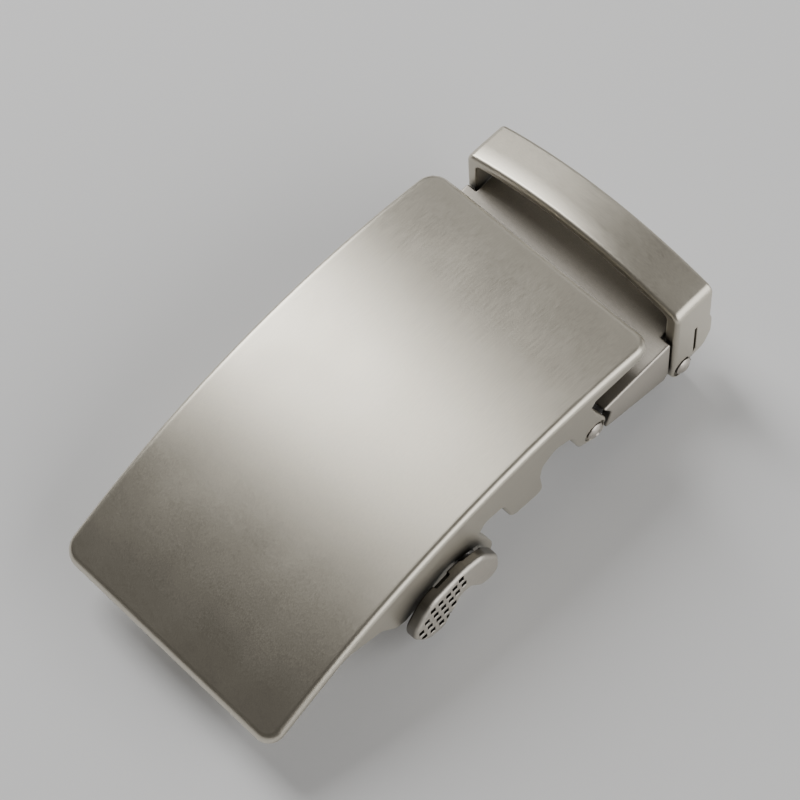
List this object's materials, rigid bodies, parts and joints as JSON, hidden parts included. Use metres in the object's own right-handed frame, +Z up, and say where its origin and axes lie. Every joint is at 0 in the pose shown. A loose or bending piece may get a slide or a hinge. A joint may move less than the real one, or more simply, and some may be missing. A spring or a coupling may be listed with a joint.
{
  "type": "ratchet belt buckle",
  "caption": "Automatic ratchet belt buckle with an arched satin nickel face, side release lever, hinged strap clip and clamp loop.",
  "frame": {"origin": "centre of the buckle's box at the surface that it lies on", "axes": "+X along the belt towards the clamp loop, +Y across the belt away from the release lever, +Z up, out of the face"},
  "size_m": [0.0843, 0.042, 0.0232],
  "materials": {
    "satin_nickel": "satin nickel plate over cast zinc alloy",
    "bright_nickel": "bright nickel plate",
    "antique_nickel": "satin nickel plate, darker in its pits",
    "steel": "plain zinc-plated steel"
  },
  "bodies": {
    "case_body": {"case": "satin_nickel", "hinge_pin": "bright_nickel"},
    "clip_body": {"clip_base": "satin_nickel", "clamp_pin": "bright_nickel"},
    "clamp_body": {"clamp_loop": "satin_nickel"},
    "lever_body": {"release_lever": "antique_nickel", "lever_shaft": "steel", "ratchet_pawl": "steel"}
  },
  "joints": [
    {"name": "clip_hinge", "type": "hinge", "parent": "case_body", "child": "clip_body", "pos_m": [0.01845, 0.00095, 0.0105], "axis": [0, 1, 0], "range_deg": [0, 30]},
    {"name": "clamp_hinge", "type": "hinge", "parent": "clip_body", "child": "clamp_body", "pos_m": [0.0361, 0.00095, 0.0052], "axis": [0, 1, 0], "range_deg": [0, 70]},
    {"name": "lever_hinge", "type": "hinge", "parent": "case_body", "child": "lever_body", "pos_m": [-0.00575, 0.00095, 0.0078], "axis": [0, 1, 0], "range_deg": [0, 12], "stiffness_Nm_per_rad": 0.02, "springref_deg": -22.92}
  ]
}
